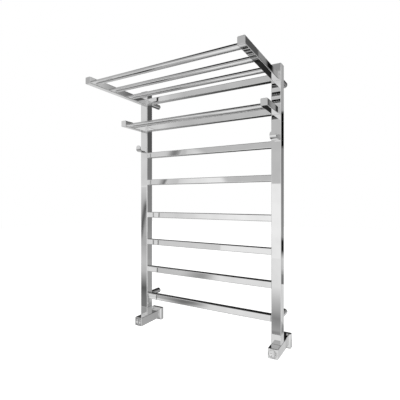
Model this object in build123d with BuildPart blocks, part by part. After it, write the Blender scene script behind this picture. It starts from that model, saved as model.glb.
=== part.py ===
"""Wall-hung, water-heated ladder towel rail in chromed square tube, with two shelves, hooks and valves.

The frame of reference stands on the wall: the origin is the centre of the four bracket screws on the
wall plane, +X runs to the right, +Y into the wall and +Z up, so the rail stands out towards -Y.
Threads are plain cylinders at the thread's outside diameter.
"""
import os

from build123d import *

os.makedirs("parts", exist_ok=True)

# Ladder
rail_centres = 500.0          # between the two uprights' axes
wall_gap = 59.0               # from the wall to the back of the uprights
upright_size = 30.0           # square tube, across the flats
upright_wall = 1.5
upright_corner = 2.0          # outer corner radius of the upright tube
upright_inner_corner = 0.6
rung_size = 20.0
rung_wall = 1.5
rung_corner = 2.0
rung_inner_corner = 0.6
rung_port_diameter = 15.0     # water way from the upright into a rung
rungs_per_group = 4
rung_pitch = 100.0
centre_gap = 120.0            # between the two groups of rungs, centre to centre
top_margin = 37.0             # top rung's centre to the top of the upright
bottom_margin = 42.0          # bottom rung's centre to the bottom of the upright
cap_thickness = 2.5
edge_round = 0.8              # softened edges of caps and plugs
joint_bevel = 0.6             # broken edges where the uprights and the neck sleeves meet

# Shelves
arm_size = 20.0
arm_wall = 1.5
arm_corner = 2.0
arm_inner_corner = 0.6
arm_drop = 3.5                # arms sit this far below the centre of their rung
top_arm_length = 262.0        # ahead of the uprights, with its end plug
lower_arm_length = 108.0
plug_plate = 2.5              # visible thickness of an arm's end plug
plug_spigot = 8.0             # length that goes inside the arm
plug_play = 0.1               # spigot to arm, each side
bar_diameter = 16.0
bar_wall = 1.2
rear_bar_reach = 71.0         # rear bar's axis ahead of the uprights
bar_pitch = 82.0
top_bar_names = ["rear", "middle", "front"]

# Hooks for loops and robes
hook_rung = 3                 # the hooks stand just above this rung, counted from the top
hook_rise = 21.0              # a hook's stud above that rung's centre
hook_width = 19.0
hook_strip = 3.0              # thickness of the strip that a hook is bent from
hook_reach = 32.5
hook_drop = 10.0              # underside of the hook below its stud
hook_back = 18.0              # height of the back plate above the underside
hook_back_bend = 1.0          # inner bend radius at the back plate
hook_back_corner = 2.0
hook_bend = 7.0               # inner bend radius at the lip
hook_lip_straight = 2.5       # lip between its bend and its round end
hook_lip_flat = 1.0           # flat left in the middle of the lip's round end
hook_stud_diameter = 6.0
hook_stud_grip = 9.0          # length of stud in the boss
hook_stud_cover = 1.0         # strip left in front of the stud's end
hook_boss_diameter = 9.4
hook_boss_floor = 3.0         # closed end of the boss, which keeps the water in

# Wall brackets
post_diameter = 18.6
post_stud_diameter = 8.0
post_stud_grip = 12.0
post_boss_diameter = 14.0
post_boss_floor = 4.0
spigot_diameter = 12.0
spigot_length = 20.0
spigot_flange = 3.0           # thickness of the flange that lies on the wall
spigot_room = 6.0             # space ahead of the spigot for the wall screw's head
wall_screw_hole = 5.5
wall_screw_sink = 10.0        # countersink diameter
grub_diameter = 5.0
grub_key = 2.5                # hexagon key across the flats
grub_from_flange = 9.0        # grub screw's axis ahead of the flange
slip_play = 0.05              # each side, where a piece is slipped or screwed into another

# Supply valves
thread_diameter = 20.955      # G 1/2 pipe thread
thread_play = 0.02            # each side, in a threaded bore
water_way = 13.0
bush_depth = 12.0
bush_play = 0.1               # bush to upright tube, each side
neck_height = 30.0
neck_wall = 2.0
collar_flats = 22.0           # hexagon of the union nipple
union_land = 0.2              # metal left between the ball's chamber and the union's thread
seal_thickness = 1.5
seal_width = 1.6
valve_size = 30.0
valve_corner = 2.0
valve_bevel = 1.0
valve_projection = 32.0       # valve front ahead of the uprights' front
valve_back_gap = 10.0         # valve back to the wall
knob_diameter = 25.0
knob_depth = 9.0
knob_play = 0.4               # knob to its pocket, all round and behind
knob_rim = 1.6
knob_dish = 4.0
grip_width = 5.0
grip_setback = 0.6
spindle_diameter = 8.0
spindle_play = 0.05
drive_flats = 6.0             # square end of the spindle in the knob
drive_length = 4.0
drive_play = 0.05
spindle_flange_diameter = 11.0
spindle_flange = 1.8
tang_thickness = 3.0
tang_width = 7.0
tang_play = 0.1
slot_depth = 3.0              # slot in the ball for the spindle's tang
gland_diameter = 14.0
gland_length = 8.0
packing_depth = 5.0
packing_play = 0.1
ball_diameter = 18.0
ball_port = 8.0
ball_play = 0.2               # ball to seats and to the spindle's flange
chamber_play = 0.3            # ball to its chamber, all round
seat_inner = 9.0
outlet_seat_outer = 14.0
outlet_seat_rise = 5.0        # lower face of the outlet seat above the ball's centre
seat_gap = 0.2                # between the two seats
tail_land = 1.0               # between the union's thread and the tail's inner end
tail_reach = 15.0             # tail thread past the wall plane, into the supply
tail_groove = 3.0
tail_groove_depth = 1.2
tail_lead = 1.0

# Cover plates on the wall
cover_size = 46.0
cover_corner = 2.0
cover_rim = 12.0
cover_bevel = 4.0             # depth of the bevelled front
cover_bevel_width = 4.5
cover_shell = 1.5
cover_play = 0.3              # cover to valve body, each side

# Air bleed, on the back of the right upright
bleed_drop = 13.0             # below the top of the upright
bleed_bush_diameter = 16.0
bleed_thread = 12.0
bleed_bush_length = 9.0
bleed_hex_flats = 14.0
bleed_hex_height = 6.0
bleed_screw_diameter = 5.0
bleed_screw_length = 11.0
bleed_head_diameter = 8.0
bleed_head_height = 2.5
bleed_slot = 1.0
bleed_play = 0.05

# Places worked out from the sizes above
upright_x = rail_centres / 2
back_y = -wall_gap
front_y = back_y - upright_size
upright_y = (back_y + front_y) / 2
inner_x = upright_x - upright_size / 2
upper_rungs = [centre_gap / 2 + rung_pitch * step for step in reversed(range(rungs_per_group))]
rung_heights = upper_rungs + [-height for height in reversed(upper_rungs)]
upright_top = rung_heights[0] + top_margin
upright_bottom = rung_heights[-1] - bottom_margin
tube_top = upright_top - cap_thickness
bracket_heights = [rung_heights[0], rung_heights[-1]]
hook_z = rung_heights[hook_rung - 1] + hook_rise
neck_bottom = upright_bottom - neck_height
valve_z = neck_bottom - valve_size / 2
valve_front = front_y - valve_projection
valve_back = -valve_back_gap
ball_y = upright_y
ball_radius = ball_diameter / 2
bleed_z = upright_top - bleed_drop
SIDES = {"left": -1, "right": 1}


def facing_up(x, y, z):
    """Plane whose normal points up, with its own X to the right."""
    return Plane(origin=(x, y, z), x_dir=(1, 0, 0), z_dir=(0, 0, 1))


def facing_right(x, y, z):
    """Plane whose normal points right, with its own Y up."""
    return Plane(origin=(x, y, z), x_dir=(0, 1, 0), z_dir=(1, 0, 0))


def facing_front(x, y, z):
    """Plane whose normal points out of the wall, with its own X to the right and Y up."""
    return Plane(origin=(x, y, z), x_dir=(1, 0, 0), z_dir=(0, -1, 0))


def facing_wall(x, y, z):
    """Plane whose normal points into the wall, with its own X to the right."""
    return Plane(origin=(x, y, z), x_dir=(1, 0, 0), z_dir=(0, 1, 0))


def save(piece, name):
    """Label a finished piece and write its file."""
    piece.part.label = name
    export_step(piece.part, f"parts/{name}.step")


def square_tube(plane, length, size, wall, corner, inner_corner):
    """Square tube with rounded corners, drawn out along the plane's normal."""
    with BuildPart() as tube:
        with BuildSketch(plane):
            RectangleRounded(size, size, corner)
            RectangleRounded(size - 2 * wall, size - 2 * wall, inner_corner, mode=Mode.SUBTRACT)
        extrude(amount=length)
    return tube


def rods(planes, diameter, length):
    """Identical round rods, one standing on each plane."""
    with BuildPart() as group:
        for plane in planes:
            with BuildSketch(plane):
                Circle(diameter / 2)
            extrude(amount=length)
    return group


def rings(planes, outer, inner, length):
    """Identical round rings, one standing on each plane."""
    with BuildPart() as group:
        for plane in planes:
            with BuildSketch(plane):
                Circle(outer / 2)
                Circle(inner / 2, mode=Mode.SUBTRACT)
            extrude(amount=length)
    return group


def blind_bushes(planes, diameter, bore, grip, floor):
    """Closed threaded bushes, each with its open end on its plane."""
    with BuildPart() as group:
        for plane in planes:
            with BuildSketch(plane):
                Circle(diameter / 2)
            extrude(amount=grip + floor)
        for plane in planes:
            with BuildSketch(plane):
                Circle(bore / 2)
            extrude(amount=grip, mode=Mode.SUBTRACT)
    return group


# Uprights: square tubes with a water port for each rung and holes for the welded bushes
def upright(side):
    x = side * upright_x
    tube = square_tube(facing_up(x, upright_y, upright_bottom), tube_top - upright_bottom,
                       upright_size, upright_wall, upright_corner, upright_inner_corner)
    with BuildPart() as piece:
        add(tube.part)
        chamfer(piece.faces().sort_by(Axis.Z)[0].outer_wire().edges(), joint_bevel)
        with BuildSketch(facing_right(side * inner_x, upright_y, 0)):
            with Locations(*[(0, height) for height in rung_heights]):
                Circle(rung_port_diameter / 2)
        extrude(amount=side * upright_wall, mode=Mode.SUBTRACT)
        with BuildSketch(facing_front(x, back_y, 0)):
            with Locations(*[(0, height) for height in bracket_heights]):
                Circle(post_boss_diameter / 2 + slip_play)
        extrude(amount=upright_wall, mode=Mode.SUBTRACT)
        with BuildSketch(facing_front(x, front_y, hook_z)):
            Circle(hook_boss_diameter / 2 + slip_play)
        extrude(amount=-upright_wall, mode=Mode.SUBTRACT)
        if side == SIDES["right"]:
            with BuildSketch(facing_front(x, back_y, bleed_z)):
                Circle(bleed_bush_diameter / 2 + slip_play)
            extrude(amount=upright_wall, mode=Mode.SUBTRACT)
    return piece


for hand, side in SIDES.items():
    save(upright(side), f"{hand}_upright")

# Caps that close the tops of the uprights
with BuildPart() as upright_caps:
    with BuildSketch(facing_up(0, upright_y, tube_top)):
        with GridLocations(rail_centres, 0, 2, 1):
            RectangleRounded(upright_size, upright_size, upright_corner)
    extrude(amount=cap_thickness)
    fillet(upright_caps.edges().group_by(Axis.Z)[-1], edge_round)
save(upright_caps, "upright_caps")

# Threaded bushes in the bottoms of the uprights
bush_size = upright_size - 2 * upright_wall - 2 * bush_play
with BuildPart() as bottom_bushes:
    with BuildSketch(facing_up(0, upright_y, upright_bottom)):
        with GridLocations(rail_centres, 0, 2, 1):
            RectangleRounded(bush_size, bush_size, upright_inner_corner)
            Circle(thread_diameter / 2 + thread_play, mode=Mode.SUBTRACT)
    extrude(amount=bush_depth)
save(bottom_bushes, "bottom_bushes")

# Rungs, numbered from the top, butted against the uprights' inner faces
for number, height in enumerate(rung_heights, start=1):
    rung = square_tube(facing_right(-inner_x, upright_y, height), 2 * inner_x,
                       rung_size, rung_wall, rung_corner, rung_inner_corner)
    save(rung, f"rung_{number}")


# Shelves: arms butted on the fronts of the uprights, plugged at their ends, with round bars between
def shelf_arm(side, height, length):
    return square_tube(facing_front(side * upright_x, front_y, height), length - plug_plate,
                       arm_size, arm_wall, arm_corner, arm_inner_corner)


def arm_plugs(height, length):
    spigot_size = arm_size - 2 * arm_wall - 2 * plug_play
    plate_y = front_y - length + plug_plate
    with BuildPart() as plugs:
        with BuildSketch(facing_front(0, plate_y, height)):
            with GridLocations(rail_centres, 0, 2, 1):
                RectangleRounded(arm_size, arm_size, arm_corner)
        extrude(amount=plug_plate)
        fillet(plugs.edges().group_by(Axis.Y)[0], edge_round)
        with BuildSketch(facing_front(0, plate_y, height)):
            with GridLocations(rail_centres, 0, 2, 1):
                RectangleRounded(spigot_size, spigot_size, arm_inner_corner)
        extrude(amount=-plug_spigot)
    return plugs


def shelf_bar(reach, height):
    start = -(upright_x - arm_size / 2)
    return rings([facing_right(start, front_y - reach, height)],
                 bar_diameter, bar_diameter - 2 * bar_wall, -2 * start)


shelves = {
    "top_shelf": (rung_heights[0] - arm_drop, top_arm_length),
    "lower_shelf": (rung_heights[1] - arm_drop, lower_arm_length),
}
for shelf, (height, length) in shelves.items():
    for hand, side in SIDES.items():
        save(shelf_arm(side, height, length), f"{shelf}_{hand}_arm")
    save(arm_plugs(height, length), f"{shelf}_plugs")
top_shelf_z, lower_shelf_z = [height for height, length in shelves.values()]
for step, bar_name in enumerate(top_bar_names):
    save(shelf_bar(rear_bar_reach + step * bar_pitch, top_shelf_z), f"top_shelf_{bar_name}_bar")
save(shelf_bar(rear_bar_reach, lower_shelf_z), "lower_shelf_bar")


# Hooks: strip bent up against the upright and up again into a lip, each on a stud in a closed bush
hook_seat = hook_strip - hook_stud_cover


def hook(side):
    x = side * upright_x
    underside = hook_z - hook_drop
    tip_y = front_y - hook_reach
    lip_corner = (hook_width - hook_lip_flat) / 2
    lip_top = underside + hook_strip + hook_bend + hook_lip_straight + lip_corner
    with BuildPart() as piece:
        with BuildSketch(facing_right(x - hook_width / 2, 0, 0)):
            with BuildLine():
                FilletPolyline((front_y, underside + hook_back), (front_y, underside),
                               (tip_y, underside), (tip_y, lip_top),
                               radius=[hook_back_bend + hook_strip, hook_bend + hook_strip])
                offset(amount=hook_strip, side=Side.RIGHT)
            make_face()
        extrude(amount=hook_width)
        ends = piece.edges().filter_by(Axis.Y).group_by(Axis.Y)
        fillet(ends[0], lip_corner)
        fillet(ends[-1], hook_back_corner)
        with BuildSketch(facing_front(x, front_y, hook_z)):
            Circle(hook_stud_diameter / 2 + slip_play)
        extrude(amount=hook_seat, mode=Mode.SUBTRACT)
    return piece


for hand, side in SIDES.items():
    save(hook(side), f"{hand}_hook")
hook_places = [(side * upright_x, hook_z) for side in SIDES.values()]
hook_bosses = blind_bushes([facing_wall(x, front_y, z) for x, z in hook_places],
                           hook_boss_diameter, hook_stud_diameter + 2 * slip_play,
                           hook_stud_grip, hook_boss_floor)
save(hook_bosses, "hook_bosses")
hook_studs = rods([facing_front(x, front_y + hook_stud_grip, z) for x, z in hook_places],
                  hook_stud_diameter, hook_stud_grip + hook_seat)
save(hook_studs, "hook_studs")


# Wall brackets: a post screwed to the upright slips over a spigot on the wall and is held by a grub screw
def bracket_post(x, z):
    socket_depth = spigot_length + spigot_room
    grub_y = -spigot_flange - grub_from_flange
    with BuildPart() as post:
        with BuildSketch(facing_front(x, -spigot_flange, z)):
            Circle(post_diameter / 2)
        extrude(amount=wall_gap - spigot_flange)
        with BuildSketch(facing_front(x, -spigot_flange, z)):
            Circle(spigot_diameter / 2 + slip_play)
        extrude(amount=socket_depth, mode=Mode.SUBTRACT)
        with BuildSketch(facing_front(x, back_y, z)):
            Circle(post_stud_diameter / 2 + slip_play)
        extrude(amount=-post_stud_grip, mode=Mode.SUBTRACT)
        with BuildSketch(facing_up(x, grub_y, z - post_diameter / 2)):
            Circle(grub_diameter / 2 + slip_play)
        extrude(amount=post_diameter / 2, mode=Mode.SUBTRACT)
    return post


bracket_names = {"upper": bracket_heights[0], "lower": bracket_heights[1]}
for level, z in bracket_names.items():
    for hand, side in SIDES.items():
        save(bracket_post(side * upright_x, z), f"{level}_{hand}_bracket_post")
bracket_places = [(side * upright_x, z) for side in SIDES.values() for z in bracket_heights]

with BuildPart() as wall_spigots:
    for x, z in bracket_places:
        with BuildSketch(facing_front(x, 0, z)):
            Circle(post_diameter / 2)
        extrude(amount=spigot_flange)
        with BuildSketch(facing_front(x, -spigot_flange, z)):
            Circle(spigot_diameter / 2)
        extrude(amount=spigot_length)
    for x, z in bracket_places:
        with Locations(facing_front(x, -spigot_flange - spigot_length, z)):
            CounterSinkHole(wall_screw_hole / 2, wall_screw_sink / 2)
save(wall_spigots, "wall_spigots")

post_bosses = blind_bushes([facing_front(x, back_y, z) for x, z in bracket_places],
                           post_boss_diameter, post_stud_diameter + 2 * slip_play,
                           post_stud_grip, post_boss_floor)
save(post_bosses, "post_bosses")
post_studs = rods([facing_front(x, back_y + post_stud_grip, z) for x, z in bracket_places],
                  post_stud_diameter, 2 * post_stud_grip)
save(post_studs, "post_studs")

grub_length = (post_diameter - spigot_diameter) / 2
with BuildPart() as grub_screws:
    for x, z in bracket_places:
        with BuildSketch(facing_up(x, -spigot_flange - grub_from_flange, z - post_diameter / 2)):
            Circle(grub_diameter / 2)
        extrude(amount=grub_length)
    for x, z in bracket_places:
        with BuildSketch(facing_up(x, -spigot_flange - grub_from_flange, z - post_diameter / 2)):
            RegularPolygon(grub_key / 2, 6, major_radius=False)
        extrude(amount=grub_length / 2, mode=Mode.SUBTRACT)
save(grub_screws, "grub_screws")

# Valve stack along the spindle, from the front face back to the wall
knob_back = valve_front + knob_depth
pocket_floor = knob_back + knob_play
gland_back = pocket_floor + gland_length
packing_back = gland_back + packing_depth
chamber_radius = ball_radius + chamber_play
chamber_front = ball_y - ball_radius - ball_play - spindle_flange - ball_play
tail_start = ball_y + thread_diameter / 2 + thread_play + tail_land
union_floor = valve_z + chamber_radius + union_land
union_engage = neck_bottom - union_floor
tang_end = ball_y - ball_radius + slot_depth - ball_play


# Valve body: square bar bored for the spindle, the ball, the tail and the union
def valve_body(side):
    x = side * upright_x
    with BuildPart() as body:
        with BuildSketch(facing_front(x, valve_back, valve_z)):
            RectangleRounded(valve_size, valve_size, valve_corner)
        extrude(amount=valve_back - valve_front)
        chamfer(body.edges().group_by(Axis.Y)[0], valve_bevel)
        with BuildSketch(facing_front(x, pocket_floor, valve_z)):
            Circle(knob_diameter / 2 + knob_play)
        extrude(amount=pocket_floor - valve_front, mode=Mode.SUBTRACT)
        with BuildSketch(facing_front(x, packing_back, valve_z)):
            Circle(gland_diameter / 2 + slip_play)
        extrude(amount=packing_back - pocket_floor, mode=Mode.SUBTRACT)
        with BuildSketch(facing_front(x, chamber_front, valve_z)):
            Circle(spindle_diameter / 2 + spindle_play)
        extrude(amount=chamber_front - packing_back, mode=Mode.SUBTRACT)
        with BuildSketch(facing_front(x, tail_start, valve_z)):
            Circle(chamber_radius)
        extrude(amount=tail_start - chamber_front, mode=Mode.SUBTRACT)
        with BuildSketch(facing_front(x, valve_back, valve_z)):
            Circle(thread_diameter / 2 + thread_play)
        extrude(amount=valve_back - tail_start, mode=Mode.SUBTRACT)
        with BuildSketch(facing_up(x, upright_y, union_floor)):
            Circle(thread_diameter / 2 + thread_play)
        extrude(amount=union_engage, mode=Mode.SUBTRACT)
        with BuildSketch(facing_up(x, upright_y, valve_z)):
            Circle(outlet_seat_outer / 2 + slip_play)
        extrude(amount=union_floor - valve_z, mode=Mode.SUBTRACT)
    return body


# Square sleeve that hides the union between upright and valve
def neck_sleeve(side):
    tube = square_tube(facing_up(side * upright_x, upright_y, neck_bottom), neck_height,
                       upright_size, neck_wall, upright_corner, upright_inner_corner)
    with BuildPart() as sleeve:
        add(tube.part)
        ends = sleeve.faces().sort_by(Axis.Z)
        chamfer(ends[0].outer_wire().edges() + ends[-1].outer_wire().edges(), joint_bevel)
    return sleeve


# Tail: threaded pipe from the valve into the supply behind the wall
def tail_nipple(side):
    x = side * upright_x
    groove_diameter = thread_diameter - 2 * tail_groove_depth
    with BuildPart() as tail:
        with BuildSketch(facing_front(x, tail_reach, valve_z)):
            Circle(thread_diameter / 2)
        extrude(amount=tail_reach - tail_start)
        chamfer(tail.edges().group_by(Axis.Y)[-1], tail_lead)
        with BuildSketch(facing_front(x, 0, valve_z)):
            Circle(thread_diameter / 2)
            Circle(groove_diameter / 2, mode=Mode.SUBTRACT)
        extrude(amount=tail_groove, mode=Mode.SUBTRACT)
        with BuildSketch(facing_front(x, tail_reach, valve_z)):
            Circle(water_way / 2)
        extrude(amount=tail_reach - tail_start, mode=Mode.SUBTRACT)
    return tail


# Spindle: square end in the knob, flange inside the chamber, tang in the ball
def spindle(side):
    x = side * upright_x
    with BuildPart() as piece:
        with BuildSketch(facing_front(x, chamber_front, valve_z)):
            Circle(spindle_diameter / 2)
        extrude(amount=chamber_front - knob_back)
        with BuildSketch(facing_front(x, knob_back, valve_z)):
            Rectangle(drive_flats, drive_flats)
        extrude(amount=drive_length)
        with BuildSketch(facing_front(x, chamber_front + ball_play + spindle_flange, valve_z)):
            Circle(spindle_flange_diameter / 2)
        extrude(amount=spindle_flange)
        with BuildSketch(facing_front(x, tang_end, valve_z)):
            Rectangle(tang_thickness, tang_width)
        extrude(amount=tang_end - chamber_front)
        with BuildSketch(facing_front(x, chamber_front + ball_play, valve_z)):
            Circle(spindle_diameter / 2)
        extrude(amount=ball_play)
    return piece


# Ball: bored from the back and to the top, slotted at the front for the tang
def valve_ball(side):
    x = side * upright_x
    slot_floor = ball_y - ball_radius + slot_depth
    with BuildPart() as ball:
        with Locations((x, ball_y, valve_z)):
            Sphere(ball_radius)
        with BuildSketch(facing_front(x, ball_y + ball_radius, valve_z)):
            Circle(ball_port / 2)
        extrude(amount=ball_radius, mode=Mode.SUBTRACT)
        with BuildSketch(facing_up(x, ball_y, valve_z)):
            Circle(ball_port / 2)
        extrude(amount=ball_radius, mode=Mode.SUBTRACT)
        with BuildSketch(facing_front(x, slot_floor, valve_z)):
            Rectangle(tang_thickness + 2 * tang_play, ball_diameter)
        extrude(amount=slot_depth, mode=Mode.SUBTRACT)
    return ball


# Knob: dished disc with a grip bar across it, flush with the valve's front face
def knob(side):
    x = side * upright_x
    dish_radius = knob_diameter / 2 - knob_rim
    dish_curve = (dish_radius ** 2 + knob_dish ** 2) / (2 * knob_dish)
    with BuildPart() as piece:
        with BuildSketch(facing_front(x, knob_back, valve_z)):
            Circle(knob_diameter / 2)
        extrude(amount=knob_depth)
        chamfer(piece.edges().group_by(Axis.Y)[0], edge_round / 2)
        with Locations((x, valve_front + knob_dish - dish_curve, valve_z)):
            Sphere(dish_curve, mode=Mode.SUBTRACT)
        with BuildSketch(facing_front(x, valve_front + knob_dish, valve_z)):
            SlotOverall(2 * dish_radius - knob_rim, grip_width, rotation=90)
        extrude(amount=knob_dish - grip_setback)
        with BuildSketch(facing_front(x, knob_back, valve_z)):
            Rectangle(drive_flats + 2 * drive_play, drive_flats + 2 * drive_play)
        extrude(amount=drive_length, mode=Mode.SUBTRACT)
    return piece


# Cover plate: bevelled square shell that slides along the valve body to the wall
def wall_cover(side):
    x = side * upright_x
    inner = cover_size - 2 * cover_shell
    face = cover_size - 2 * cover_bevel_width
    opening = valve_size + 2 * cover_play
    with BuildPart() as cover:
        with BuildSketch(facing_front(x, 0, valve_z)):
            RectangleRounded(cover_size, cover_size, cover_corner)
        extrude(amount=cover_rim)
        with BuildSketch(facing_front(x, -cover_rim, valve_z)):
            RectangleRounded(cover_size, cover_size, cover_corner)
        with BuildSketch(facing_front(x, -cover_rim - cover_bevel, valve_z)):
            RectangleRounded(face, face, cover_corner)
        loft(ruled=True)
        with BuildSketch(facing_front(x, 0, valve_z)):
            RectangleRounded(inner, inner, cover_corner)
        extrude(amount=cover_rim, mode=Mode.SUBTRACT)
        with BuildSketch(facing_front(x, 0, valve_z)):
            RectangleRounded(opening, opening, valve_corner)
        extrude(amount=cover_rim + cover_bevel, mode=Mode.SUBTRACT)
    return cover


for hand, side in SIDES.items():
    save(valve_body(side), f"{hand}_valve_body")
    save(neck_sleeve(side), f"{hand}_neck_sleeve")
    save(tail_nipple(side), f"{hand}_tail_nipple")
    save(spindle(side), f"{hand}_spindle")
    save(valve_ball(side), f"{hand}_valve_ball")
    save(knob(side), f"{hand}_knob")
    save(wall_cover(side), f"{hand}_wall_cover")
valve_xs = [side * upright_x for side in SIDES.values()]

# Union nipples: hexagon inside the sleeve, threaded into the upright's bush and into the valve
with BuildPart() as union_nipples:
    for x in valve_xs:
        with BuildSketch(facing_up(x, upright_y, union_floor)):
            Circle(thread_diameter / 2)
        extrude(amount=union_engage + neck_height + bush_depth)
        with BuildSketch(facing_up(x, upright_y, neck_bottom + seal_thickness)):
            RegularPolygon(collar_flats / 2, 6, major_radius=False)
        extrude(amount=neck_height - 2 * seal_thickness)
    for x in valve_xs:
        with BuildSketch(facing_up(x, upright_y, union_floor)):
            Circle(water_way / 2)
        extrude(amount=union_engage + neck_height + bush_depth, mode=Mode.SUBTRACT)
save(union_nipples, "union_nipples")

# Flat seals above and below each union's hexagon
seal_planes = [facing_up(x, upright_y, z) for x in valve_xs
               for z in (neck_bottom, upright_bottom - seal_thickness)]
seal_inner = thread_diameter + 2 * slip_play
save(rings(seal_planes, seal_inner + 2 * seal_width, seal_inner, seal_thickness), "union_seals")

# Gland nuts and the packing rings they press on the spindle
gland_planes = [facing_front(x, gland_back, valve_z) for x in valve_xs]
packing_planes = [facing_front(x, packing_back, valve_z) for x in valve_xs]
packing_bore = spindle_diameter + 2 * packing_play
save(rings(gland_planes, gland_diameter, packing_bore, gland_length), "gland_nuts")
save(rings(packing_planes, gland_diameter, packing_bore, packing_depth), "packing_rings")

# Seats: a ring between the ball and the union, and one between the ball and the tail
with BuildPart() as outlet_seats:
    for x in valve_xs:
        with BuildSketch(facing_up(x, upright_y, valve_z + outlet_seat_rise)):
            Circle(outlet_seat_outer / 2)
            Circle(seat_inner / 2, mode=Mode.SUBTRACT)
        extrude(amount=union_floor - valve_z - outlet_seat_rise)
        with Locations((x, ball_y, valve_z)):
            Sphere(ball_radius + ball_play, mode=Mode.SUBTRACT)
save(outlet_seats, "outlet_seats")
with BuildPart() as inlet_seats:
    for x in valve_xs:
        with BuildSketch(facing_front(x, tail_start, valve_z)):
            Circle(chamber_radius - slip_play)
            Circle(seat_inner / 2, mode=Mode.SUBTRACT)
        extrude(amount=tail_start - ball_y - outlet_seat_outer / 2 - seat_gap)
        with Locations((x, ball_y, valve_z)):
            Sphere(ball_radius + ball_play, mode=Mode.SUBTRACT)
save(inlet_seats, "inlet_seats")

# Air bleed: bush welded in the right upright, hexagon plug and its slotted screw
bleed_x = SIDES["right"] * upright_x
save(rings([facing_front(bleed_x, back_y, bleed_z)], bleed_bush_diameter,
           bleed_thread + 2 * slip_play, bleed_bush_length), "bleed_bush")
with BuildPart() as bleed_plug:
    with BuildSketch(facing_front(bleed_x, back_y, bleed_z)):
        Circle(bleed_thread / 2)
    extrude(amount=bleed_bush_length)
    with BuildSketch(facing_front(bleed_x, back_y + bleed_hex_height, bleed_z)):
        RegularPolygon(bleed_hex_flats / 2, 6, major_radius=False)
    extrude(amount=bleed_hex_height)
    with BuildSketch(facing_front(bleed_x, back_y + bleed_hex_height, bleed_z)):
        Circle(bleed_screw_diameter / 2 + bleed_play)
    extrude(amount=bleed_hex_height + bleed_bush_length, mode=Mode.SUBTRACT)
save(bleed_plug, "bleed_plug")
bleed_head_y = back_y + bleed_hex_height + bleed_play
with BuildPart() as bleed_screw:
    with BuildSketch(facing_front(bleed_x, bleed_head_y, bleed_z)):
        Circle(bleed_screw_diameter / 2)
    extrude(amount=bleed_screw_length)
    with BuildSketch(facing_front(bleed_x, bleed_head_y + bleed_head_height, bleed_z)):
        Circle(bleed_head_diameter / 2)
    extrude(amount=bleed_head_height)
    with BuildSketch(facing_front(bleed_x, bleed_head_y + bleed_head_height, bleed_z)):
        Rectangle(bleed_head_diameter, bleed_slot)
    extrude(amount=bleed_head_height / 2, mode=Mode.SUBTRACT)
save(bleed_screw, "bleed_screw")
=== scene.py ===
"""Looks of a chromed, wall-hung ladder towel rail: finishes, weld seams, pipe threads and the studio."""

import math

import bpy
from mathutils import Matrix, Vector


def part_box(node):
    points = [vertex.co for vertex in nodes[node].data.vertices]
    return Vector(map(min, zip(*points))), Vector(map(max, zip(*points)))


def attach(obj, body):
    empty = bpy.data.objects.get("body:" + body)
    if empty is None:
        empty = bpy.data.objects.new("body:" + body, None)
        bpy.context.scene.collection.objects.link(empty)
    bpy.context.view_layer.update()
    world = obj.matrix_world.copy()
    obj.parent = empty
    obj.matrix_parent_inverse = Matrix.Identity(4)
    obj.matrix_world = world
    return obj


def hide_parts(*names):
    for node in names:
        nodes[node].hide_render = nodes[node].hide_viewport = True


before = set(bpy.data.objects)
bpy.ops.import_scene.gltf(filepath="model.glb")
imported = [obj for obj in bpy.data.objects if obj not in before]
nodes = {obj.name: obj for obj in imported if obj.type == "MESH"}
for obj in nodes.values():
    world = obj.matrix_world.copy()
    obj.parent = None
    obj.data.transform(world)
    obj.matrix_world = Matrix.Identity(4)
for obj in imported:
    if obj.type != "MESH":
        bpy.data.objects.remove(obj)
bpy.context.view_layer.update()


# Uprights and their caps: 30 mm square steel tube, drawn, polished along its length and chromed.
# The caps are welded on top and polished flush, so they share the finish. Lengthwise polishing
# leaves faint upright streaks in the mirror.
def linear(hex_colour):
    """sRGB hex colour as linear RGBA."""
    channels = [int(hex_colour[i:i + 2], 16) / 255 for i in (1, 3, 5)]
    curve = [c / 12.92 if c <= 0.04045 else ((c + 0.055) / 1.055) ** 2.4 for c in channels]
    return (*curve, 1.0)


def add(tree, kind, inputs=(), **settings):
    """Adds a node with its settings, and sets or links its inputs by name or number."""
    node = tree.nodes.new(kind)
    for name, value in settings.items():
        setattr(node, name, value)
    for key, value in dict(inputs).items():
        if isinstance(value, bpy.types.NodeSocket):
            tree.links.new(value, node.inputs[key])
        else:
            node.inputs[key].default_value = value
    return node


def empty_material(name):
    """A material with an empty node tree, that tree, and its output node."""
    material = bpy.data.materials.new(name)
    material.use_nodes = True
    material.node_tree.nodes.clear()
    return material, material.node_tree, material.node_tree.nodes.new("ShaderNodeOutputMaterial")


def set_stops(ramp, stops):
    """Gives a colour ramp its (place, hex colour) stops."""
    elements = ramp.color_ramp.elements
    while len(elements) < len(stops):
        elements.new(1.0)
    for element, (place, colour) in zip(elements, stops):
        element.position = place
        element.color = linear(colour)


def drifting_tone(tree, spot, patch_mm, tones, spread):
    """Colour that drifts between two tones in soft patches, over a spread of the patches' noise."""
    patches = add(tree, "ShaderNodeTexNoise", {"Vector": spot, "Scale": 1000 / patch_mm, "Detail": 2.0})
    tone = add(tree, "ShaderNodeValToRGB", {"Fac": patches.outputs["Fac"]})
    set_stops(tone, list(zip(spread, tones)))
    return tone.outputs["Color"]


mark_height = 0.0001
mark_spread = (0.3, 0.7)


def marked_skin(tree, marks, gloss, relief):
    """Roughness and normal of a skin with marks in it, from the spread of the marks' noise."""
    roughness = add(tree, "ShaderNodeMapRange", {
        "Value": marks, "From Min": mark_spread[0], "From Max": mark_spread[1],
        "To Min": gloss[0], "To Max": gloss[1],
    })
    bump = add(tree, "ShaderNodeBump", {"Height": marks, "Strength": relief, "Distance": mark_height})
    return {"Roughness": roughness.outputs["Result"], "Normal": bump.outputs["Normal"]}


metal_patch_mm = 60
metal_spread = (0.35, 0.65)


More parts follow.
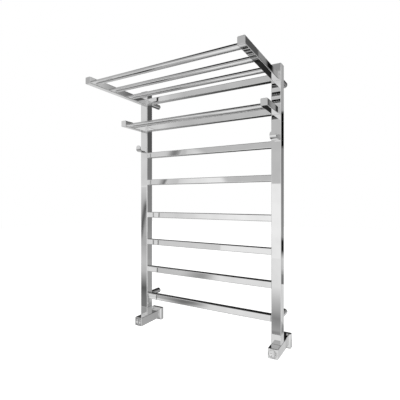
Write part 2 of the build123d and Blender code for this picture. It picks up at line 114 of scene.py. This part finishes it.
def worked_metal(name, mark_mm, tones, gloss, relief):
    """Metal with the marks that its polishing or turning left.

    mark_mm is the size of the marks along X, Y and Z, tones are the two colours that drift into each
    other, gloss is the roughness between and on the marks, and relief is the strength of their bump.
    """
    material, tree, output = empty_material(name)
    spot = add(tree, "ShaderNodeTexCoord").outputs["Object"]
    stretched = add(tree, "ShaderNodeMapping", {"Vector": spot, "Scale": [1000 / size for size in mark_mm]})
    marks = add(tree, "ShaderNodeTexNoise", {
        "Vector": stretched.outputs["Vector"], "Scale": 1.0, "Detail": 4.0, "Roughness": 0.6,
    })
    metal = add(tree, "ShaderNodeBsdfPrincipled", {
        "Base Color": drifting_tone(tree, spot, metal_patch_mm, tones, metal_spread),
        "Metallic": 1.0,
        **marked_skin(tree, marks.outputs["Fac"], gloss, relief),
    })
    tree.links.new(metal.outputs["BSDF"], output.inputs["Surface"])
    return material


def finish_with(material, *names):
    """Gives CAD nodes a material in place of the one they came with."""
    for name in names:
        nodes[name].data.materials.clear()
        nodes[name].data.materials.append(material)


chrome_tones = ("#E4E4E4", "#EBEBEB")
chrome_relief = 0.01
tube_gloss = (0.012, 0.03)
# real polishing lines are too fine to show, so the streaks are drawn this wide and long
streak_width_mm = 1.2
streak_length_mm = 40


def polished_chrome(name, streak_mm):
    """Chromed tube with the streaks of its polishing."""
    return worked_metal(name, streak_mm, chrome_tones, tube_gloss, chrome_relief)


upright_streaks = (streak_width_mm, streak_width_mm, streak_length_mm)
upright_chrome = polished_chrome("chrome_polished_upright", upright_streaks)
finish_with(upright_chrome, "left_upright", "right_upright", "upright_caps")

# Bushes inside the uprights: turned mild steel, welded in before plating and left bare inside, one at
# each foot for the union and closed ones for the studs. Turning leaves fine rings, dull and grey.
steel_tones = ("#8E9092", "#A6A8AA")
steel_gloss = (0.28, 0.42)
steel_relief = 0.15
steel_ring_mm = 0.4
ring_run_mm = 6
bush_marks = (ring_run_mm, ring_run_mm, steel_ring_mm)
bush_steel = worked_metal("mild_steel_turned_upright", bush_marks, steel_tones, steel_gloss, steel_relief)
finish_with(bush_steel, "bottom_bushes")
steel_marks = (ring_run_mm, steel_ring_mm, ring_run_mm)
turned_steel = worked_metal("mild_steel_turned", steel_marks, steel_tones, steel_gloss, steel_relief)
finish_with(turned_steel, "hook_bosses", "post_bosses", "bleed_bush")

# Rungs: 20 mm square steel tube, cut square, welded between the uprights and chromed with them.
# They were polished along their length too, so their streaks run sideways.
rung_count = 8
rung_streaks = (streak_length_mm, streak_width_mm, streak_width_mm)
rung_chrome = polished_chrome("chrome_polished_rung", rung_streaks)
rung_names = [f"rung_{number}" for number in range(1, rung_count + 1)]
finish_with(rung_chrome, *rung_names)

# Shelves: square arms welded to the fronts of the uprights, with pressed end plugs, and round bars
# of drawn tube welded between the arms. The arms are polished from front to back, and the bars along
# their length in longer, finer streaks.
hands = ("left", "right")
arm_streaks = (streak_width_mm, streak_length_mm, streak_width_mm)
arm_chrome = polished_chrome("chrome_polished_arm", arm_streaks)
arm_names = [f"{shelf}_{hand}_arm" for shelf in ("top_shelf", "lower_shelf") for hand in hands]
finish_with(arm_chrome, *arm_names, "top_shelf_plugs", "lower_shelf_plugs")
bar_streaks = (60, 1.0, 1.0)
bar_chrome = polished_chrome("chrome_polished_bar", bar_streaks)
bar_names = ["top_shelf_rear_bar", "top_shelf_middle_bar", "top_shelf_front_bar", "lower_shelf_bar"]
finish_with(bar_chrome, *bar_names)

# Weld seams: a fine bead all round each rung end, arm root and bar end, dressed and chromed with the
# tube, so it mirrors more softly. A bead follows the outline of the tube it closes, square with round
# corners or fully round.
seam_grain = (0.9, 0.9, 0.9)
seam_gloss = (0.05, 0.12)
seam_relief = 0.1
seam_chrome = worked_metal("chrome_dressed_weld", seam_grain, chrome_tones, seam_gloss, seam_relief)
bead_radius = 0.0007
bead_sides = 10
corner_steps = 8
seam_inputs = {
    "Tube Size": "NodeSocketFloat",
    "Tube Corner": "NodeSocketFloat",
    "Bead Radius": "NodeSocketFloat",
    "Turn": "NodeSocketRotation",
    "Metal": "NodeSocketMaterial",
}
seam_tree = bpy.data.node_groups.new("weld_seams", "GeometryNodeTree")
seam_tree.interface.new_socket("Geometry", in_out="INPUT", socket_type="NodeSocketGeometry")
seam_sockets = {
    name: seam_tree.interface.new_socket(name, in_out="INPUT", socket_type=kind).identifier
    for name, kind in seam_inputs.items()
}
seam_tree.interface.new_socket("Geometry", in_out="OUTPUT", socket_type="NodeSocketGeometry")
given = add(seam_tree, "NodeGroupInput").outputs
outline = add(seam_tree, "GeometryNodeCurvePrimitiveQuadrilateral", {
    "Width": given["Tube Size"], "Height": given["Tube Size"],
})
rounded = add(seam_tree, "GeometryNodeFilletCurve", {
    "Curve": outline.outputs["Curve"], "Radius": given["Tube Corner"],
    "Count": corner_steps, "Limit Radius": True,
}, mode="POLY")
bead = add(seam_tree, "GeometryNodeCurvePrimitiveCircle", {
    "Resolution": bead_sides, "Radius": given["Bead Radius"],
})
ring = add(seam_tree, "GeometryNodeCurveToMesh", {
    "Curve": rounded.outputs["Curve"], "Profile Curve": bead.outputs["Curve"],
})
smooth = add(seam_tree, "GeometryNodeSetShadeSmooth", {0: ring.outputs["Mesh"]})
spots = add(seam_tree, "GeometryNodeMeshToPoints", {"Mesh": given["Geometry"]})
beads = add(seam_tree, "GeometryNodeInstanceOnPoints", {
    "Points": spots.outputs["Points"], "Instance": smooth.outputs[0], "Rotation": given["Turn"],
})
real = add(seam_tree, "GeometryNodeRealizeInstances", {"Geometry": beads.outputs["Instances"]})
plated = add(seam_tree, "GeometryNodeSetMaterial", {
    "Geometry": real.outputs["Geometry"], "Material": given["Metal"],
})
add(seam_tree, "NodeGroupOutput", {0: plated.outputs["Geometry"]})


def weld_seams(name, places, tube_size, tube_corner, turn):
    """One mesh of beads, each round a tube's outline at its place, turned from lying flat."""
    mesh = bpy.data.meshes.new(name)
    mesh.from_pydata(places, [], [])
    seams = bpy.data.objects.new(name, mesh)
    bpy.context.scene.collection.objects.link(seams)
    maker = seams.modifiers.new("seams", "NODES")
    maker.node_group = seam_tree
    sizes = {
        "Tube Size": tube_size, "Tube Corner": tube_corner, "Bead Radius": bead_radius,
        "Turn": turn, "Metal": seam_chrome,
    }
    for socket, value in sizes.items():
        maker[seam_sockets[socket]] = value
    evaluated = seams.evaluated_get(bpy.context.evaluated_depsgraph_get())
    seams.data = bpy.data.meshes.new_from_object(evaluated)
    seams.modifiers.clear()
    seams.data.name = name
    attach(seams, "rail")


def ends_across(names):
    """Centres of both ends of tubes that run across the rail."""
    places = []
    for low, high in map(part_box, names):
        middle = (low + high) / 2
        places += [(low.x, middle.y, middle.z), (high.x, middle.y, middle.z)]
    return places


def roots_behind(names):
    """Centres of the rear ends of tubes that run from front to back."""
    return [((low.x + high.x) / 2, high.y, (low.z + high.z) / 2) for low, high in map(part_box, names)]


def box_size(name):
    """A CAD node's size along X, Y and Z."""
    low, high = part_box(name)
    return high - low


square_corner = 0.002
rung_size = box_size(rung_names[0]).y
bar_size = box_size(bar_names[0]).y
arm_size = box_size(arm_names[0]).x
facing_sideways = (0.0, math.radians(90), 0.0)
facing_forwards = (math.radians(90), 0.0, 0.0)
weld_seams("rung_weld_seams", ends_across(rung_names), rung_size, square_corner, facing_sideways)
weld_seams("bar_weld_seams", ends_across(bar_names), bar_size, bar_size / 2, facing_sideways)
weld_seams("arm_weld_seams", roots_behind(arm_names), arm_size, square_corner, facing_forwards)

# Hooks and wall posts: the hooks are bent from flat steel strip, the posts turned from bar, and both
# are buffed on a wheel and chromed, a little softer than the tube. Studs hold them to the uprights.
# The posts slip over bare turned spigots on the wall and are held by small grub screws.
buffed_grain = (0.8, 0.8, 0.8)
buffed_gloss = (0.015, 0.04)
buffed_chrome = worked_metal("chrome_buffed", buffed_grain, chrome_tones, buffed_gloss, chrome_relief)
post_names = [f"{level}_{hand}_bracket_post" for level in ("upper", "lower") for hand in hands]
finish_with(buffed_chrome, "left_hook", "right_hook", *post_names)
finish_with(turned_steel, "hook_studs", "post_studs", "wall_spigots", "grub_screws")

# Valves: square brass bar, milled, buffed and chromed, with a turned knob set in the front face, a
# square sleeve round the union above and a pressed cover plate on the wall behind. The ball inside
# is chromed too. Buffing leaves no streaks, only a soft, even mirror.
valve_grain = (1.5, 1.5, 1.5)
valve_chrome = worked_metal("chrome_buffed_valve", valve_grain, chrome_tones, buffed_gloss, chrome_relief)
for hand in hands:
    for piece in ("valve_body", "neck_sleeve", "knob", "wall_cover", "valve_ball"):
        finish_with(valve_chrome, f"{hand}_{piece}")

# Inside the valves: brass unions, spindles and gland nuts, bare from the lathe, so they keep fine
# rings and a warm yellow. Seals and packing are dull black rubber, and the seats are milky white
# plastic.
brass_tones = ("#B8934A", "#CDA95E")
brass_gloss = (0.16, 0.28)
brass_relief = 0.12
brass_ring_mm = 0.35
union_marks = (ring_run_mm, ring_run_mm, brass_ring_mm)
union_brass = worked_metal("brass_turned_upright", union_marks, brass_tones, brass_gloss, brass_relief)
brass_marks = (ring_run_mm, brass_ring_mm, ring_run_mm)
turned_brass = worked_metal("brass_turned", brass_marks, brass_tones, brass_gloss, brass_relief)
finish_with(union_brass, "union_nipples")
finish_with(turned_brass, "left_spindle", "right_spindle", "gland_nuts")
skin_patch_mm = 8
skin_spread = (0.3, 0.7)
skin_relief = 0.2


def moulded(name, tones, grain_mm, gloss, specular):
    """Moulded rubber or plastic with a fine grain in its skin and tones that drift in patches."""
    material, tree, output = empty_material(name)
    spot = add(tree, "ShaderNodeTexCoord").outputs["Object"]
    grain = add(tree, "ShaderNodeTexNoise", {"Vector": spot, "Scale": 1000 / grain_mm, "Detail": 3.0})
    body = add(tree, "ShaderNodeBsdfPrincipled", {
        "Base Color": drifting_tone(tree, spot, skin_patch_mm, tones, skin_spread),
        "Specular IOR Level": specular,
        **marked_skin(tree, grain.outputs["Fac"], gloss, skin_relief),
    })
    tree.links.new(body.outputs["BSDF"], output.inputs["Surface"])
    return material


seal_rubber = moulded("rubber_moulded_black", ("#161616", "#222222"), 0.5, (0.6, 0.8), 0.35)
finish_with(seal_rubber, "union_seals", "packing_rings")
seat_plastic = moulded("ptfe_moulded_white", ("#E2E2DE", "#ECECE8"), 0.6, (0.4, 0.55), 0.45)
finish_with(seat_plastic, "outlet_seats", "inlet_seats")

# Tails: brass pipe with a half-inch pipe thread, cut on a lathe, which screws into the supply behind
# the wall. A groove ends the thread at the wall, and the first turn is bevelled so that it starts.
thread_pitch = 0.001814
thread_depth = 0.00116
steps_per_turn = 12
tail_sides = 64
tail_bore = 0.0065
groove_depth = 0.0012
groove_width = 0.003
lead = 0.001
wall_y = 0.0
sharp_angle = math.radians(40)


def thread_radius(y, side, crest, end):
    """Radius of the thread at a place along and round it, with its end at y = end.

    Crest, root and the two flanks take a quarter of the pitch each, and the flanks are eased.
    """
    place = (y / thread_pitch + side / tail_sides) % 1.0
    flank = min(max(1.5 - abs(4.0 * place - 2.0), 0.0), 1.0)
    rise = flank * flank * (3.0 - 2.0 * flank)
    return min(crest - thread_depth * (1.0 - rise), crest - lead + end - y)


def threaded_tail(hand):
    """Pipe tail as rings of points from its valve end to its threaded end, and back along its bore."""
    low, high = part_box(f"{hand}_tail_nipple")
    axis_x = (low.x + high.x) / 2
    axis_z = (low.z + high.z) / 2
    crest = (high.x - low.x) / 2
    groove = crest - groove_depth
    groove_y = wall_y - groove_width
    plain = [(low.y, crest), (groove_y, crest), (groove_y, groove), (wall_y, groove)]
    steps = round(high.y / thread_pitch * steps_per_turn)
    sides = range(tail_sides)
    rings = [(y, [radius] * tail_sides) for y, radius in plain]
    for step in range(1, steps + 1):
        y = high.y * step / steps
        rings.append((y, [thread_radius(y, side, crest, high.y) for side in sides]))
    rings += [(y, [tail_bore] * tail_sides) for y in (high.y, low.y)]
    points = []
    for y, radii in rings:
        for side, radius in zip(sides, radii):
            angle = math.tau * side / tail_sides
            points.append((axis_x + radius * math.cos(angle), y, axis_z + radius * math.sin(angle)))
    faces = []
    for loop in range(len(rings)):
        here = loop * tail_sides
        there = (loop + 1) % len(rings) * tail_sides
        for side in sides:
            onward = (side + 1) % tail_sides
            faces.append((here + side, there + side, there + onward, here + onward))
    mesh = bpy.data.meshes.new(f"{hand}_threaded_tail")
    mesh.from_pydata(points, [], faces)
    mesh.materials.append(turned_brass)
    mesh.shade_smooth()
    mesh.set_sharp_from_angle(angle=sharp_angle)
    tail = bpy.data.objects.new(f"{hand}_threaded_tail", mesh)
    bpy.context.scene.collection.objects.link(tail)
    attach(tail, "rail")
    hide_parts(f"{hand}_tail_nipple")


for hand in hands:
    threaded_tail(hand)

# Air bleed: a brass hexagon plug in the back of the right upright, with a slotted screw in it that
# lets trapped air out. Both come bare from the lathe.
finish_with(turned_brass, "bleed_plug", "bleed_screw")

# Floor: a pale, seamless paper sheet well below the rail, which hangs by its four brackets.
# It stays white to the eye and in the chrome, and takes only a soft shadow.
floor_z = -0.75
floor_reach = 8
one_face = [(0, 1, 2, 3)]


def level_oblong(z, x_low, x_high, y_low, y_high):
    """Corners of an oblong that lies level."""
    return [(x_low, y_low, z), (x_high, y_low, z), (x_high, y_high, z), (x_low, y_high, z)]


floor_mesh = bpy.data.meshes.new("floor")
floor_corners = level_oblong(floor_z, -floor_reach, floor_reach, -floor_reach, floor_reach)
floor_mesh.from_pydata(floor_corners, [], one_face)
floor = bpy.data.objects.new("floor", floor_mesh)
bpy.context.scene.collection.objects.link(floor)
floor_paper, paper_tree, paper_output = empty_material("paper_floor_white")
paper = add(paper_tree, "ShaderNodeBsdfDiffuse", {"Color": linear("#F4F4F4")})
glow = add(paper_tree, "ShaderNodeEmission", {"Color": linear("#FFFFFF"), "Strength": 0.3})
lit = add(paper_tree, "ShaderNodeAddShader", {0: paper.outputs["BSDF"], 1: glow.outputs["Emission"]})
paper_tree.links.new(lit.outputs["Shader"], paper_output.inputs["Surface"])
floor_mesh.materials.append(floor_paper)

# Studio: an even white surround, with large cards that only the chrome mirrors, as a chrome shot
# needs them: a pale wall behind the camera, a dim one behind the rail, grey walls at the sides, a
# ceiling and pale ground. Smaller cards stand for lamps, stands, flags and the shadows on the ground.
world = bpy.data.worlds.new("studio")
bpy.context.scene.world = world
world.use_nodes = True
world.node_tree.nodes.clear()
surround = add(world.node_tree, "ShaderNodeBackground", {"Color": linear("#FFFFFF"), "Strength": 1.0})
add(world.node_tree, "ShaderNodeOutputWorld", {"Surface": surround.outputs["Background"]})
no_fade = (0.0, 0.0)
least_fade = 0.0001


def card(name, corners, greys, along="X", fade=(0.1, 0.1)):
    """A card seen in mirrors alone, with edges that fade out over a share of its width and height.

    greys is one grey all over, or (place, grey) stops along the card. Its X runs from the first corner
    to the second, its Y from the first to the last, both from 0 to 1.
    """
    material, tree, output = empty_material(f"card_{name}")
    layout = add(tree, "ShaderNodeUVMap", uv_map="card")
    places = add(tree, "ShaderNodeSeparateXYZ", {"Vector": layout.outputs["UV"]})
    if isinstance(greys, str):
        colour = linear(greys)
    else:
        shade = add(tree, "ShaderNodeValToRGB", {"Fac": places.outputs[along]})
        set_stops(shade, greys)
        colour = shade.outputs["Color"]
    face = add(tree, "ShaderNodeEmission", {"Color": colour, "Strength": 1.0})
    edges = []
    for axis, share in zip("XY", fade):
        inset = add(tree, "ShaderNodeMath", {0: places.outputs[axis], 1: 0.5}, operation="PINGPONG")
        edges.append(add(tree, "ShaderNodeMapRange", {
            "Value": inset.outputs["Value"], "From Max": max(share, least_fade),
        }, interpolation_type="SMOOTHSTEP"))
    cover = add(tree, "ShaderNodeMath", {
        0: edges[0].outputs["Result"], 1: edges[1].outputs["Result"],
    }, operation="MULTIPLY")
    gap = add(tree, "ShaderNodeBsdfTransparent")
    sheet = add(tree, "ShaderNodeMixShader", {
        0: cover.outputs["Value"], 1: gap.outputs["BSDF"], 2: face.outputs["Emission"],
    })
    tree.links.new(sheet.outputs["Shader"], output.inputs["Surface"])
    mesh = bpy.data.meshes.new(name)
    mesh.from_pydata(corners, [], one_face)
    mesh.materials.append(material)
    corner_places = mesh.uv_layers.new(name="card")
    for loop, spot in zip(corner_places.data, [(0, 0), (1, 0), (1, 1), (0, 1)]):
        loop.uv = spot
    panel = bpy.data.objects.new(name, mesh)
    bpy.context.scene.collection.objects.link(panel)
    panel.visible_camera = False
    panel.visible_diffuse = False
    panel.visible_shadow = False


def standing(y, x_low, x_high, z_low, z_high):
    """Corners of an oblong card that stands across the view from the front."""
    return [(x_low, y, z_low), (x_high, y, z_low), (x_high, y, z_high), (x_low, y, z_high)]


def standing_at(y, *spots):
    """Corners of a card that stands across the view, at its own (x, z) spots."""
    return [(x, y, z) for x, z in spots]


def lying(lift, x_low, x_high, y_low, y_high):
    """Corners of an oblong card that lies a little above the floor."""
    return level_oblong(floor_z + lift, x_low, x_high, y_low, y_high)


def lying_at(lift, *spots):
    """Corners of a card that lies a little above the floor, at its own (x, y) spots."""
    return [(x, y, floor_z + lift) for x, y in spots]


# in front of the rail: a pale wall with a darker band above it, brighter where it ends low down,
# with cards a layer apart so that the nearer one shows, and a lamp on a stand closer to the rail
front_y = -3.2
layer = 0.01
stand_y = -3.1
lamp_y = -1.05
lamp_face_y = lamp_y + 0.001
card("front_wall", standing(front_y, -7, 4, 0.18, 1.63),
     [(0.0, "#E6E6E6"), (0.4115, "#E2E2E2"), (0.4446, "#CCCCCC"), (1.0, "#CACACA")], fade=(0.0, 0.02))
card("front_band", standing(front_y - layer, -7, 3, 1.5, 1.79), "#A0A0A0", fade=no_fade)
card("front_wall_top", standing(front_y - layer, -7, 3, 1.79, 3),
     [(0.0, "#C0C0C0"), (1.0, "#B0B0B0")], "Y", no_fade)
card("front_window", standing(front_y + layer, 1.5, 4, 0.2, 1.5), "#FFFFFF", fade=(0.05, 0.05))
card("front_doorway", standing_at(front_y + 2 * layer, (-2.3, 0), (-1.18, 0), (-1.6, 0.62), (-2.02, 0.86)),
     [(0.0, "#DCDCDC"), (0.6, "#F8F8F8"), (1.0, "#FFFFFF")], fade=(0.12, 0.12))
card("front_low", standing(front_y, -2.78, 0.6, floor_z, 0.2),
     [(0.0, "#E2E2E2"), (0.17, "#E6E6E6"), (0.33, "#F8F8F8"), (0.44, "#FFFFFF")], fade=no_fade)
card("front_skirt", standing(front_y + layer, -2.78, -1.47, floor_z, -0.48), "#E0E0E0", fade=(0.03, 0.1))
card("front_low_left", standing(front_y, -7, -2.78, floor_z, 0.22),
     [(0.0, "#BCBCBC"), (0.7, "#BCBCBC"), (1.0, "#DCDCDC")], "Y", (0.0, 0.03))
card("stand_leg", standing_at(stand_y, (-2.95, -0.72), (-2.79, -0.72), (-2.61, 0.06), (-2.77, 0.06)),
     [(0.0, "#686868"), (1.0, "#606060")], "Y", (0.5, 0.25))
card("stand_boom", standing_at(stand_y, (-2.66, -0.1), (-2.54, -0.1), (-1.93, 0.92), (-2.27, 0.92)),
     [(0.0, "#707070"), (1.0, "#909090")], "Y", (0.5, 0.12))
card("lamp_edge", standing_at(lamp_y, (-1.03, -0.74), (-0.94, -0.74), (-0.913, 0.0), (-1.03, 0.0)),
     [(0.0, "#E8E8E8"), (1.0, "#EEEEEE")], fade=(0.15, 0.05))
card("lamp_pole", standing_at(lamp_face_y, (-0.947, -0.74), (-0.936, -0.74), (-0.908, 0.0), (-0.919, 0.0)),
     [(0.0, "#707070"), (1.0, "#686868")], "Y", (0.2, 0.02))
card("lamp_hinge", standing(lamp_face_y, -0.977, -0.963, -0.4, -0.05),
     [(0.0, "#8C8C8C"), (1.0, "#A8A8A8")], "Y", (0.25, 0.05))
card("lamp_side", standing(lamp_face_y, -1.005, -0.988, 0.05, 0.45), "#A8A8A8", fade=(0.3, 0.1))
card("lamp_rim", standing(lamp_face_y, -0.941, -0.9235, 0.708, 0.8), "#060606", fade=(0.05, 0.0))
card("lamp_rim_low", standing(lamp_face_y, -0.98, -0.926, 0.704, 0.721),
     [(0.0, "#909090"), (0.6, "#202020")], fade=(0.1, 0.2))
card("lamp_rim_top", standing(lamp_face_y, -0.938, -0.912, 0.741, 0.752),
     [(0.0, "#060606"), (1.0, "#202020")])

# ground in front of the rail: white to the right, greyer to the left, with soft shadows and dark flags
card("front_ground_right", lying(0.008, -9, 6, -7, -0.8), [(0.0, "#FFFFFF"), (1.0, "#F0F0F0")], "Y", no_fade)
card("front_ground_left", lying_at(0.01, (-9, -7), (-3.5, -7), (-0.5, -1.1), (-6, -1.1)),
     [(0.0, "#DDDDDD"), (0.86, "#D6D6D6"), (1.0, "#BABABA")], "Y", (0.04, 0.0))
card("shade_left", lying_at(0.02, (-4.2, -3.2), (-2.69, -3.2), (-0.848, -0.85), (-2.4, -0.85)),
     [(0.0, "#C2C2C2"), (0.48, "#CECECE"), (0.62, "#C4C4C4"), (0.74, "#989898"), (0.83, "#626262"),
      (0.92, "#808080"), (1.0, "#808080")], "Y", (0.006, 0.0))
card("shade_right", lying_at(0.02, (-0.345, -1.85), (0.9, -1.85), (0.9, -0.85), (-0.02, -0.85)),
     [(0.0, "#F4F4F4"), (0.37, "#CBCBCB"), (0.6, "#B0B0B0"), (0.74, "#909090"), (0.83, "#9C9C9C"),
      (0.92, "#ACACAC"), (0.95, "#949494")], "Y", (0.006, 0.0))
card("shade_streak", lying_at(0.03, (-1.47, -2.4), (-1.04, -2.4), (-0.38, -0.85), (-0.88, -0.85)),
     [(0.45, "#A4A4A4"), (0.52, "#E0E0E0"), (0.77, "#E0E0E0"), (0.83, "#7C7C7C")], "Y", (0.5, 0.15))
card("near_ground", lying(0.04, -3, 3, -0.828, -0.2),
     [(0.28, "#B2B2B2"), (0.37, "#A2A2A2"), (0.42, "#B4B4B4"), (0.46, "#D0D0D0"), (0.5, "#EEEEEE")],
     fade=no_fade)
card("hook_shade", lying(0.045, -0.2, 0.0, -0.75, -0.22), "#A0A0A0", fade=(0.2, 0.2))
card("rung_shade", lying(0.03, -0.75, -0.57, -2.42, -2.17),
     [(0.0, "#606060"), (0.6, "#585858"), (0.72, "#D0D0D0"), (0.84, "#404040")], "Y", (0.05, 0.02))
card("low_flag", [(-1.05, -1.2, -0.298), (-0.54, -1.2, -0.298),
                  (-0.45, -0.64, -0.2188), (-0.938, -0.64, -0.2188)], "#202020", fade=(0.2, 0.05))
card("low_flag_near", [(-0.57, -0.64, -0.2188), (-0.45, -0.64, -0.2188),
                       (-0.42, -0.45, -0.192), (-0.55, -0.45, -0.192)], "#202020", fade=(0.2, 0.05))
card("near_shade", lying(0.05, 0.58, 0.78, -0.95, -0.768), "#202020", fade=(0.1, 0.0))

# behind the rail, towards the left: a wall that darkens towards the middle, with slats on the ground
back_y = 2.2
card("back_ground", lying(0.01, -2, 1.2, -0.25, 0.9),
     [(0.0, "#D0D0D0"), (0.35, "#C8C8C8"), (0.52, "#606060"), (0.6, "#686868"), (0.69, "#B2B2B2"),
      (0.745, "#B0B0B0"), (0.77, "#989898"), (0.81, "#848484"), (0.87, "#D6D6D6")], fade=(0.0, 0.1))
card("side_glow", lying_at(0.012, (0.4, 0.4), (0.504, 0.4), (0.504, 0.8), (0.475, 0.8)),
     [(0.0, "#D4D4D4"), (1.0, "#D8D8D8")], fade=(0.02, 0.0))
card("far_back_ground", lying(0.005, -6, 0.4, 0.7, 2.4),
     [(0.5, "#E0E0E0"), (0.7, "#A0A0A0"), (0.83, "#505050"), (0.95, "#262626")], fade=no_fade)
card("back_wall_low", standing(back_y, -6, 0.45, floor_z, 0.25),
     [(0.53, "#E0E0E0"), (0.63, "#AFAFAF"), (0.735, "#656565"), (0.84, "#2A2A2A")], fade=no_fade)
card("back_wall_high", standing(back_y + layer, -6, 0.45, 0.1, 4),
     [(0.5, "#A0A0A0"), (0.63, "#707070"), (0.735, "#484848"), (0.84, "#202020")], fade=no_fade)
card("back_flag", standing(back_y - layer, -2.7, -2.1, 0.5, 0.85), "#444444", fade=(0.05, 0.05))
card("back_band", standing(back_y - 2 * layer, -2.4, 0.45, 0.02, 0.5),
     [(0.0, "#505050"), (0.4, "#282828"), (1.0, "#101010")], fade=(0.1, 0.05))
slat_count = 6
slats = [(slat / slat_count + share, grey) for slat in range(slat_count)
         for share, grey in ((0.01, "#101010"), (0.045, "#E8E8E8"), (0.08, "#101010"))]
card("back_slats", lying(0.02, -0.74, -0.58, 1.79, 2.15), slats, "Y", (0.1, 0.0))
card("back_light", standing(back_y - 3 * layer, -0.3, 0.3, floor_z, 0.45),
     [(0.0, "#6C6C6C"), (0.4, "#B8B8B8"), (1.0, "#E0E0E0")], fade=(0.12, 0.05))

# behind the rail, towards the right: a mid-grey wall with dark flags and a lit strip before it
card("far_side_ground", lying(0.005, 0.4, 6, 0.7, 2.4), "#A8A8A8", fade=no_fade)
card("side_light", lying_at(0.006, (0.2, 0.7), (0.44, 0.7), (1.15, 2.0), (0.4, 2.0)),
     [(0.0, "#CCCCCC"), (1.0, "#EAEAEA")], "Y", (0.06, 0.0))
# painted shadow: a darker grey strip on the ground along the foot of the back wall, where floor and wall
# meet
card("wall_foot_shadow", lying(0.007, 0.5, 1.1, 1.8, 2.2), [(0.0, "#747474"), (1.0, "#8A8A8A")], "Y", (0.0, 0.05))
card("side_wall_low", standing(back_y, 0.45, 6, floor_z, 0.52),
     [(0.0, "#A4A4A4"), (0.18, "#A0A0A0"), (0.4, "#909090"), (1.0, "#808080")], "Y", no_fade)
card("side_wall_lit", standing(back_y - layer, 0.6, 1.2, -0.74, -0.54),
     [(0.0, "#C8C8C8"), (1.0, "#D8D8D8")], "Y", (0.05, 0.3))
card("side_wall_high", standing(back_y + layer, 0.45, 2.45, 0.4, 5),
     [(0.0, "#BCBCBC"), (0.24, "#B0B0B0"), (0.274, "#A4A4A4"), (0.284, "#101010"), (0.306, "#101010"),
      (0.318, "#8C8C8C"), (0.354, "#989898"), (0.36, "#585858"), (0.7, "#5C5C5C"), (0.85, "#A0A0A0"),
      (1.0, "#C8C8C8")], fade=no_fade)
card("side_wall_far", standing(back_y + layer, 2.44, 7, 0.4, 5),
     [(0.0, "#C8C8C8"), (1.0, "#D8D8D8")], fade=no_fade)
card("side_flag", standing(back_y - 5 * layer, 0.5, 0.94, 0.49, 0.88), "#080808", fade=(0.05, 0.1))
card("side_panel", standing(back_y - 6 * layer, 0.92, 1.12, 0.8, 1.12),
     [(0.15, "#0C0C0C"), (0.25, "#A4A4A4"), (0.42, "#989898"), (0.58, "#545454")], fade=(0.02, 0.1))
card("side_flag_low", standing(back_y - 5 * layer, 0.6, 1.2, -0.55, -0.36), "#202020", fade=(0.05, 0.3))
card("post_flag", standing(back_y - 2 * layer, 0.3, 0.86, 1.0, 1.6), "#181818")

# overhead: dark in the middle, paler towards both sides
ceiling_z = 2.8
room_depth = (-3.4, 2.3)
card("ceiling", level_oblong(ceiling_z, -6, 6, *room_depth),
     [(0.08, "#B8B8B8"), (0.15, "#707070"), (0.21, "#303030"), (0.3, "#101010"), (1.0, "#101010")],
     "Y", no_fade)
card("ceiling_left", level_oblong(ceiling_z - 2 * layer, -6, -0.9, *room_depth),
     [(0.0, "#C8C8C8"), (1.0, "#B0B0B0")], "Y", (0.3, 0.0))
card("ceiling_right", level_oblong(ceiling_z - 2 * layer, -0.4, 6, *room_depth),
     [(0.0, "#E0E0E0"), (0.35, "#B8B8B8"), (0.6, "#606060"), (0.72, "#A8A8A8"), (1.0, "#D0D0D0")],
     "Y", (0.1, 0.0))

# at both sides: grey walls with a darker band, which give the ends of the rail their shape
side_x = 7.2
room_front, room_back = room_depth
for name, x in (("left_wall", -side_x), ("right_wall", side_x)):
    card(name, [(x, room_front, floor_z), (x, room_back, floor_z),
                (x, room_back, ceiling_z), (x, room_front, ceiling_z)],
         [(0.0, "#F0F0F0"), (0.3, "#E8E8E8"), (0.42, "#A8A8A8"), (0.5, "#808080"), (0.56, "#B4B4B4"),
          (1.0, "#9C9C9C")], "Y", no_fade)
card("right_ground", lying(0.004, 1.3, side_x, -0.8, 0.7),
     [(0.0, "#F0F0F0"), (1.0, "#C4C4C4")], fade=(0.1, 0.0))
card("left_ground", lying(0.004, -side_x, -2.0, -0.8, 0.7),
     [(0.0, "#C4C4C4"), (1.0, "#F0F0F0")], fade=(0.1, 0.0))

# Camera: level, at the height of the rail's middle and to its right, as the picture was taken.
# Its place, turn and focal length were fitted to the rail's edges.
lens = bpy.data.cameras.new("camera")
lens.sensor_width = 36.0
lens.lens = 29.56
lens.clip_start = 0.02
lens.clip_end = 60.0
camera = bpy.data.objects.new("camera", lens)
camera.location = (0.5422, -1.0396, -0.0055)
camera.rotation_euler = (math.radians(90), 0, math.radians(30.13))
bpy.context.scene.collection.objects.link(camera)
bpy.context.scene.camera = camera
bpy.context.scene.view_settings.view_transform = "Standard"
